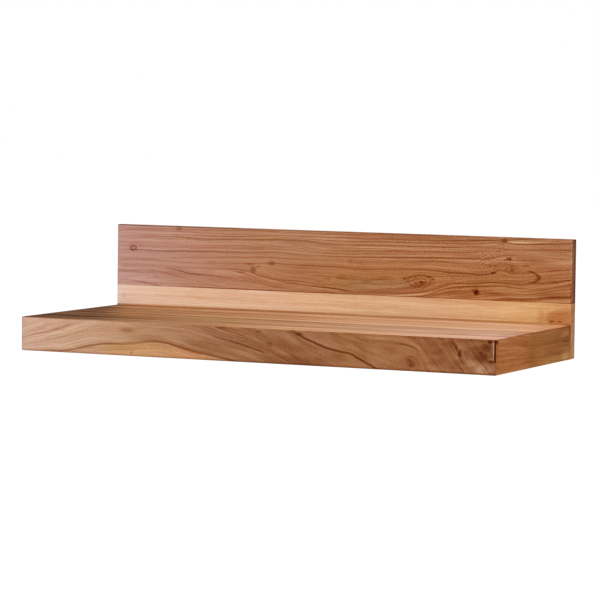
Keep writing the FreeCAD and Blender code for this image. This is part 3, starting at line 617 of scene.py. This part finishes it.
# The front fascia: guide lines from its top left round to its right end. Two of them are drawn wider.
FRONT_GUIDES = [
    [(0, -80, 0), (500, -60, 0), (545, -25, 0), (565, 5, 0.1), (575, 18, 0.4), (593, 38, 0.5),
     (602, 52, 0)],
    [(0, -60, 0), (300, -72, 0), (500, -36, 0), (535, -14, 0), (548, 5, 0.4), (553, 12, 1), (557, 20, 1),
     (565, 34, 0), (580, 52, 0), (600, 68, 0)],
    [(0, -40, 0), (300, -55, 0), (450, -30, 0), (500, -14, 0), (520, -8, 0), (535, 4, 0.2),
     (545, 20, 0.2), (560, 36, 0.5), (575, 55, 0), (600, 76, 0)],
    [(0, -20, 0), (200, -40, 0), (350, -25, 0), (400, -10, 0), (430, 4, 0.1), (445, 8.5, 0),
     (460, 10, 0.05), (480, 9.2, 0.2), (495, 11, 0.65), (505, 15, 0.5), (512, 24, 0), (518, 34, 0),
     (525, 46, 0), (540, 62, 0), (600, 84, 0)],
    [(0, 10, 0), (40, -5, 0), (100, -20, 0), (200, -25, 0), (300, -15, 0), (330, -8, 0), (345, -3, 0.1),
     (358, 3, 0.4), (367, 8, 1), (380, 13, 1), (395, 18, 1), (410, 21, 0.95), (425, 23.5, 0.9),
     (432, 27, 1), (445, 33, 1), (457, 38.5, 1), (480, 52, 0.5), (520, 70, 0), (600, 92, 0)],
    [(0, 25, 0.3), (10, 21.5, 0.4), (30, 17, 0.55), (50, 11.5, 0.6), (65, 7, 0.4), (90, -1, 0),
     (130, -8, 0), (200, -9, 0), (240, -4, 0.2), (255, 0.5, 0.6), (270, 4.5, 0.5), (290, 9.7, 0.35),
     (310, 16, 0.1), (330, 24, 0), (360, 36, 0), (400, 52, 0), (450, 68, 0), (600, 102, 0)],
    [(0, 33, 0.1), (30, 27, 0.2), (60, 20.5, 0.35), (80, 14.5, 0.3), (110, 9, 0.1), (150, 5.5, 0),
     (190, 3, 0.1), (215, 4, 0.3), (240, 8.3, 0.3), (255, 12, 0.6), (270, 15.3, 0.9), (300, 22.3, 1),
     (318, 27.8, 0.5), (330, 32, 0), (360, 44, 0), (400, 60, 0), (450, 76, 0), (600, 110, 0)],
    [(0, 41, 0), (30, 38.5, 0.5), (60, 37, 0.9), (75, 34, 1), (100, 28, 0.95), (115, 26.3, 1),
     (145, 25.2, 0.6), (165, 22, 0.7), (180, 21, 0.9), (192, 22, 1), (205, 25, 1), (220, 28.3, 0.9),
     (240, 32, 0.8), (260, 35.3, 0.8), (275, 38, 0.8), (285, 40, 0.7), (310, 47, 0), (360, 62, 0),
     (450, 90, 0), (600, 120, 0)],
]
FRONT_MAIN = [FRONT_GUIDES[4], FRONT_GUIDES[7]]
FRONT_SPOTS = [
    (141, 9.5, 15, 4.6, 0.7), (143, 10, 10, 3, 0.15), (160, 17, 45, 6, 0.3), (50, 13, 18, 3, 0.3),
    (90, 32, 26, 4, 0.3), (147, 36, 2.5, 2.5, 1.0), (310, 4.5, 5.5, 1.8, 0.8), (263, 1.5, 7, 2, 0.5),
    (324, 18, 6, 4.5, 0.5), (361, 4.5, 7, 3.4, 0.9), (352, 3, 9, 1.5, 0.5), (581, 16.5, 17, 13, 0.5),
    (585, 21, 9, 8, 0.85), (582, 15.5, 4, 2.6, 0.8), (592.5, 3, 3.5, 3.6, 2.0), (594, 24.5, 5, 2.5, 1.5),
    (499, 30, 10, 9, 0.5), (500, 33, 6.5, 3.2, 0.8), (497.5, 29.8, 3.4, 1.7, 0.8), (496, 27, 4, 2, 0.6),
    (430, 30, 60, 12, 0.1), (250, 37, 30, 5, -0.15), (528, 12, 18, 12, 0.3), (566, 14, 7, 10, 0.35),
    (55, 38, 40, 2.5, 0.15), (548, 10, 8, 14, 0.3), (355, 36, 80, 10, 0.45), (586, 35, 15, 8, -0.5),
    (256, 24, 62, 13, 0.3), (345, 21, 55, 9, 0.3), (557, 17, 3.4, 6, 1.5), (553, 11, 3, 5, 0.9),
    (545, 4, 7, 5, 0.2), (540, 26, 12, 7, 0.1), (556, 28, 9, 7, 0.3), (574, 20, 7, 8, 0.2),
    (543, 9, 12, 6, 0.45), (590, 9, 10, 7, 0.8), (562, 20, 7, 6, 0.3), (571, 27, 9, 7, -0.35),
    (580, 32, 11, 6, -0.25),
]
FRONT_TONES = [
    (0.0, (205, 167, 145)), (0.08, (202, 165, 139)), (0.19, (194, 154, 124)), (0.28, (179, 136, 103)),
    (0.38, (166, 120, 87)), (0.52, (158, 110, 76)), (0.62, (154, 105, 72)), (0.75, (163, 112, 77)),
    (0.84, (158, 106, 70)), (0.92, (150, 98, 65)), (1.0, (144, 94, 62)),
]
# The tones on its top, dark at the left and pale at the right, carry the staves' painted reflection.
FRONT_TOP_TONES_AND_REFLECTION = [
    (0.165, (104, 71, 52)), (0.21, (146, 104, 76)), (0.35, (178, 128, 95)), (0.55, (200, 150, 116)),
    (0.75, (211, 162, 130)), (1.0, (215, 170, 148)),
]
GOLDEN_CURVE = light(200, 149, 103)
GLINT = light(214, 166, 146)


def front_board():
    """Golden under its long curve, brown and blotched at the right, with the mitres dark at its ends.

    What looks up on it, the front of the top, takes the tones of the staves, with their painted reflection.
    """
    board = Board("front_wood", FRONT_FACE, LENGTH, -100, 140, 1.1, 43.0)
    board.shake(1.6, 0.9)
    grain = board.flow(FRONT_GUIDES) + board.reach(498, 30, 16, 12).step(1, 0, 0, 2)
    knot = speckle(board, [(499, 30, 12, 9)], 2.4) * 0.5
    under_curve = ((board.level - board.path(FRONT_GUIDES[7])) * board.span).step(-1.5, 1.5)
    golden = board.reach(178, 40, 100, 23).step(1, 0.4, 0, 0.75) * under_curve
    # Painted shade along the rounded bottom edge, and along the top edge, strongest there at the left.
    lower_arris_shade = board.face_v.step(36.6, 38.4, 0, 0.5)
    upper_arris_shade = board.face_v.step(4.2, 2.2) * board.share.step(0.6, 0.75, 0, 0.3)
    upper_arris_shade = upper_arris_shade + board.arris * board.share.step(0.3, 0.05, 0, 1.6)
    mitre = board.u.step(597.3, 598.2) * board.v.step(27, 23, 0.1, 2.4) + board.u.step(1.8, 0.8)
    glint = board.u.step(596.0, 596.5) * board.u.step(597.5, 597.0)
    glint = glint * board.v.step(24, 21, 0, 0.7) * board.v.step(3, 5)
    to_the_right = board.share.step(0.82, 0.9)
    blotches = board.noise(board.vector(board.u / 16, board.v / 8, 3.0), 2.0) - 0.5
    blotches = blotches * to_the_right * 1.8
    drawn = board.strokes(FRONT_GUIDES, 2.2, 0.9).larger(board.strokes(FRONT_MAIN, 3.0, 1.4)) * 1.85
    dark = drawn + board.spots(FRONT_SPOTS) + knot + mitre + blotches + lower_arris_shade + upper_arris_shade
    face = board.blend(golden, board.ramp(board.share, FRONT_TONES), GOLDEN_CURVE)
    face = board.blend(glint, face, GLINT)
    tone = board.blend(board.upward, face, board.ramp(board.share, FRONT_TOP_TONES_AND_REFLECTION))
    contrast = to_the_right.scaled(-0.5, 1.25)
    return wood(board, grain, tone, dark * board.not_upward, 3.4, contrast, shine=0.03)


# The end fascias: u starts at the front corner.
END_GUIDES = [
    [(0, -6, 0), (100, -4, 0.1), (235, 2, 0.2)],
    [(0, 0, 0.2), (30, 2, 0.3), (55, 4, 0.1), (100, 12, 0), (160, 13, 0), (235, 10, 0)],
    [(0, 12, 0), (60, 14, 0.1), (100, 17, 0.3), (170, 19, 0.1), (235, 20, 0)],
    [(0, 24, 0), (60, 26, 0.2), (100, 28, 0.3), (170, 30, 0.1), (235, 30, 0)],
    [(0, 32, 0.6), (30, 35, 0.4), (60, 34, 0.1), (98, 31.5, 0.9), (110, 32, 0.3), (170, 36, 0.2),
     (235, 40, 0.2)],
    [(0, 42, 0), (100, 40, 0.2), (235, 46, 0)],
]
RIGHT_END_SPOTS = [
    (80, 7, 22, 6, 0.3), (90, 11, 18, 5, 0.35), (3, 3, 5, 3.5, 3.0), (35, 18, 8, 3, 0.25),
    (20, 27, 14, 5, 0.25), (225, 18, 26, 10, 0.25), (5, 22, 9, 14, 0.25), (205, 4, 20, 4, 0.3),
    (231.5, 5, 2.2, 8, 1.4), (222, 33, 24, 11, -0.5), (136, 26, 34, 14, -0.28), (20, 5, 22, 9, -0.2),
    (215, 9, 24, 7, -0.25),
]
LEFT_END_SPOTS = [(60, 20, 40, 5, 0.3), (150, 12, 50, 4, 0.3), (190, 30, 30, 5, 0.25)]
END_TONES = [
    (0.0, (179, 114, 64)), (0.15, (182, 115, 64)), (0.36, (176, 109, 56)), (0.44, (160, 98, 44)),
    (0.8, (158, 98, 44)), (1.0, (158, 102, 48)),
]
END_TOP_TONES = [(0.0, (214, 170, 146)), (0.4, (210, 158, 120)), (1.0, (208, 148, 102))]


def end_board(name, face, seed, spots):
    """Red-brown at the front and golden brown behind, with the mitre dark at its front corner."""
    board = Board(name, face, DEPTH, -60, 80, 0.8, seed)
    board.shake(1.6, 0.9)
    grain = board.flow(END_GUIDES)
    mitre = board.u.step(1.4, 0.4) * 0.8
    pale = board.reach(185, 37, 70, 8).step(1, 0.4, 0, 0.45)
    # The rounded top edge is darkened: painted shade.
    dark = board.strokes(END_GUIDES, 1.8, 1.0) + board.spots(spots) + mitre - pale + board.arris
    outside = board.ramp(board.share, END_TONES)
    tone = board.blend(board.upward, outside, board.ramp(board.share, END_TOP_TONES))
    contrast = board.reach(135, 18, 85, 26).step(1.0, 0.4, 1.2, 0.75)
    return wood(board, grain, tone, dark * board.not_upward, 3.0, contrast, shine=0.02)


# The tones along each stave of the top: dark left end, brown, tan and pale right end.
# The pale right part is a painted reflection of the pale lower board of the panel.
TOP_TONES_AND_REFLECTION = ((120, 85, 63), (166, 119, 82), (205, 158, 120), (222, 178, 153))

# The dark end turns brown from this far before its place to this far beyond it, in millimetres, and the
# tan comes at this share of the length.
DARK_BEFORE = 10
DARK_BEYOND = 16
TAN_SHARE = 0.58

# The staves from front to rear: the joint in front of each, where its dark end stops, how pale its left and
# its right half are beside those tones, ring size, contrast, lean, and its soft bands, each (place, half
# width, strength).
STAVES = [
    (235, 105, 0.92, 1.0, 3.6, 1.5, 0.5, [(212, 7, -0.25)]),
    (202, 90, 0.97, 0.945, 2.8, 1.7, -0.9, [(192, 6, 0.9), (168, 7, -0.3)]),
    (157, 70, 1.03, 0.925, 3.4, 1.6, 1.2, [(125, 7, 0.6)]),
    (119, 50, 1.03, 1.02, 4.4, 1.4, -0.4, [(109, 9, -0.35), (92, 6, 0.3)]),
    (81, 31, 1.0, 1.0, 3.2, 1.6, 0.8, [(50, 7, 0.45)]),
    (45, 11, 1.07, 1.04, 3.8, 1.5, -1.1, [(30, 9, -0.3)]),
]
# Spots on the top; the first, along the panel on the left, is painted shade beside the panel.
TOP_SPOTS = [
    (130, 5, 130, 13, 0.3), (240, 22, 60, 14, 0.15), (583, 31, 26, 16, 0.6), (450, 22, 75, 16, -0.22),
    (585, 6, 26, 9, -1.2), (530, 183, 44, 27, 0.4), (594, 125, 24, 140, 0.35),
]
REAR_TINT = light(255, 251, 231)
CORNER_SHADE = light(203, 202, 190)
WARMER = light(250, 244, 232)


def stave(number, joint, dark_end, left, right, ring_size, contrast, lean, bands):
    """A stave of the top, whose dark left end stops raggedly, and whose pale right part is a painted
    reflection.
    """
    board = Board(f"stave_wood_{number}", TOP_FACE, LENGTH, -10, DEPTH, lean, 60.0 + 9.0 * number)
    board.shake(1.4, 0.5)
    grain = board.v + streaks(board, board.v, 60.0, 420.0, 0.0, 0.4, 2.0).scaled(24.0, -12.0)
    dark = board.noise(board.vector(board.u / 110, board.v / 22, board.seed), 2.0).scaled(1.0, -0.5)
    dark = dark + board.face_v.step(joint - 0.7, joint - 0.1, 0, 0.9) + board.sawn_end * 0.4
    for middle, half_width, strength in bands:
        dark = dark + (board.v - middle).size().step(half_width, 0, 0, strength)
    dark = dark + ring_lines(board, grain, 30.0, 900.0, 11.0).scaled(0.5, -0.2) + board.spots(TOP_SPOTS)
    # A darker strip along the right end, fading towards the front: painted shade of the rounded right edge.
    dark = dark + board.u.step(594, 599, 0, 1.3) * board.v.step(215, 120)
    ragged = streaks(board, grain, 5.0, 300.0, 2.0, 0.6, 41.0).scaled(0.28, -0.14)
    places = ((dark_end - DARK_BEFORE) / LENGTH, (dark_end + DARK_BEYOND) / LENGTH, TAN_SHARE, 1.0)
    tone = board.ramp(board.share + ragged, [
        (place, [paleness * level for level in colour])
        for place, paleness, colour in zip(places, (left, left, right, right), TOP_TONES_AND_REFLECTION)
    ])
    tone = board.tint(board.v.step(225, 60) * board.share.step(TAN_SHARE, 1.0), tone, REAR_TINT)
    tone = board.tint(board.face_v.step(20, 4), tone, CORNER_SHADE)
    tone = board.tint(board.reach(595, 18, 50, 42).step(1, 0.4), tone, WARMER)
    return wood(board, grain, tone, dark, ring_size, contrast, shine=0.0)


# The battens: node, name of its wood, direction, colour and seed.
BATTENS = [
    ("rear_rail", "batten_wood_rail", LENGTHWISE, (216, 176, 136), 210.0),
    ("front_glue_strip", "batten_wood_front", LENGTHWISE, (222, 182, 142), 223.0),
    ("end_glue_strip_left", "batten_wood_left", CROSSWISE, (212, 172, 130), 237.0),
    ("end_glue_strip_right", "batten_wood_right", CROSSWISE, (218, 178, 136), 241.0),
    ("centre_rib", "batten_wood_rib", CROSSWISE, (214, 172, 128), 252.0),
]


def plain_wood(name, face, colour, seed, contrast=1.6, ring_size=2.6):
    """Straight-grained bare wood of the battens and the dowels."""
    board = Board(name, face, LENGTH, -300, 300, 0.6, seed)
    board.shake(3.0, 0.6)
    grain = board.v + streaks(board, board.v, 40.0, 200.0, 1.0, 0.4, 2.0).scaled(16.0, -8.0)
    patch = board.noise(board.vector(board.u / 120, board.v / 30, seed), 2.0).scaled(0.6, -0.3)
    warm = board.noise(board.vector(board.u / 60, board.v / 9, seed + 4), 1.0)
    tone = board.blend(warm, light(*colour), dimmed(colour, 0.9))
    return wood(board, grain, tone, patch + board.sawn_end * 0.4, ring_size, contrast, roughness=0.62)


def steel(name, colour, marks_along):
    """Zinc-plated steel with a mottled plating and fine rolling marks, drawn out along z."""
    tree = Tree(bpy.data.materials.new(name))
    place = tree.node("ShaderNodeTexCoord")
    x, y, z = tree.parts(place.outputs["Object"]).values()
    marks = tree.noise(tree.vector(x * STEEL_MARKS, y * STEEL_MARKS, z * marks_along), 3.0, 0.6)
    mottle = tree.noise(tree.vector(x * STEEL_MOTTLES, y * STEEL_MOTTLES, z * STEEL_MOTTLES), 3.0, 0.6)
    tone = tree.blend(mottle, light(*colour), dimmed(colour, 0.82))
    tone = tree.blend(marks.step(0.3, 0.8), tone, dimmed(colour, 0.9))
    rough = marks.scaled(0.2, 0.22) + mottle * 0.15
    return tree.surface(tone, rough, marks + mottle, STEEL_RELIEF, metallic=1.0)


def dress(material, *nodes):
    """Gives CAD nodes a material."""
    for node in nodes:
        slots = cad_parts[node].data.materials
        slots.clear()
        slots.append(material)


def dress_all():
    dress(upper_board(), "back_board_upper")
    dress(lower_board(), "back_board_lower")
    dress(front_board(), "front_fascia")
    dress(end_board("end_wood_right", RIGHT_FACE, 80.0, RIGHT_END_SPOTS), "end_fascia_right")
    dress(end_board("end_wood_left", LEFT_FACE, 91.0, LEFT_END_SPOTS), "end_fascia_left")
    for number, facts in enumerate(STAVES, start=1):
        dress(stave(number, *facts), f"top_stave_{number}")
    for node, *facts in BATTENS:
        dress(plain_wood(*facts), node)
    blocks = plain_wood("batten_wood_blocks", LENGTHWISE, (206, 164, 120), 266.0)
    dress(blocks, "corner_block_left", "corner_block_right")
    beech = plain_wood("dowel_wood", CROSSWISE, (214, 176, 138), 271.0, contrast=0.9, ring_size=1.2)
    dress(beech, "corner_splines", "panel_dowels")
    dress(steel("screw_steel", (196, 178, 128), 900), "back_screws", "batten_screws", "plate_screws")
    dress(steel("hanger_steel", (168, 171, 177), 260), "keyhole_plate_left", "keyhole_plate_right")


def seen_plainly(tree):
    """1 for rays from the camera and for mirrored or bent ones, 0 for soft light."""
    path = tree.node("ShaderNodeLightPath")
    rays = [Field(tree, path.outputs[f"Is {kind} Ray"]) for kind in ("Camera", "Glossy", "Transmission")]
    return rays[0].larger(rays[1]).larger(rays[2])


def floor():
    """A wide pale floor, white to the camera, that keeps the shadow and isn't there from below."""
    half = FLOOR_SIZE / 2
    corners = [(-half, -half), (half, -half), (half, half), (-half, half)]
    mesh = bpy.data.meshes.new("floor")
    mesh.from_pydata([(x, y, FLOOR_HEIGHT) for x, y in corners], [], [(0, 1, 2, 3)])
    plane = bpy.data.objects.new("floor", mesh)
    bpy.context.scene.collection.objects.link(plane)
    tree = Tree(bpy.data.materials.new("floor"))
    matt = tree.node("ShaderNodeBsdfDiffuse")
    matt.inputs["Color"].default_value = (FLOOR_GREY, FLOOR_GREY, FLOOR_GREY, 1.0)
    glow = tree.node("ShaderNodeEmission")
    tree.feed(glow.inputs["Strength"], seen_plainly(tree) * FLOOR_GLOW)
    both = tree.node("ShaderNodeAddShader")
    tree.links.new(matt.outputs[0], both.inputs[0])
    tree.links.new(glow.outputs[0], both.inputs[1])
    clear = tree.node("ShaderNodeBsdfTransparent")
    side = tree.node("ShaderNodeNewGeometry")
    chosen = tree.node("ShaderNodeMixShader")
    tree.links.new(side.outputs["Backfacing"], chosen.inputs[0])
    tree.links.new(both.outputs[0], chosen.inputs[1])
    tree.links.new(clear.outputs[0], chosen.inputs[2])
    output = tree.node("ShaderNodeOutputMaterial")
    tree.links.new(chosen.outputs[0], output.inputs["Surface"])
    mesh.materials.append(tree.owner)


def surroundings():
    """A white room to the camera, and a plain soft light for everything else."""
    world = bpy.data.worlds.new("studio")
    bpy.context.scene.world = world
    tree = Tree(world)
    sky = tree.node("ShaderNodeBackground")
    sky.inputs["Color"].default_value = (1.0, 1.0, 1.0, 1.0)
    tree.feed(sky.inputs["Strength"], seen_plainly(tree).scaled(1.0 - SKY_LIGHT, SKY_LIGHT))
    output = tree.node("ShaderNodeOutputWorld")
    tree.links.new(sky.outputs[0], output.inputs["Surface"])


def lamp(name, place, size, power):
    """A square soft lamp that faces the shelf."""
    data = bpy.data.lights.new(name, "AREA")
    data.size = size
    data.energy = power
    made = bpy.data.objects.new(name, data)
    made.location = place
    made.rotation_euler = (-Vector(place)).to_track_quat("-Z", "Y").to_euler()
    bpy.context.scene.collection.objects.link(made)


def camera():
    """The camera, turned from the azimuth, the elevation and the roll above."""
    azimuth = math.radians(CAMERA_AZIMUTH)
    elevation = math.radians(CAMERA_ELEVATION)
    roll = math.radians(CAMERA_ROLL)
    back = Vector((
        math.sin(azimuth) * math.cos(elevation),
        -math.cos(azimuth) * math.cos(elevation),
        math.sin(elevation),
    ))
    level_right = (-back).cross(Vector((0, 0, 1))).normalized()
    level_up = level_right.cross(-back)
    right = level_right * math.cos(roll) + level_up * math.sin(roll)
    up = level_up * math.cos(roll) - level_right * math.sin(roll)
    data = bpy.data.cameras.new("camera")
    data.lens = CAMERA_LENS
    data.clip_start = 0.1
    data.clip_end = 100
    made = bpy.data.objects.new("camera", data)
    turned = Matrix((right, up, back)).transposed().to_4x4()
    made.matrix_world = Matrix.Translation(CAMERA_TARGET + back * CAMERA_DISTANCE) @ turned
    bpy.context.scene.collection.objects.link(made)
    bpy.context.scene.camera = made


camera()
floor()
surroundings()
for lamp_facts in LAMPS:
    lamp(*lamp_facts)
bpy.context.scene.view_settings.view_transform = "Standard"
dress_all()
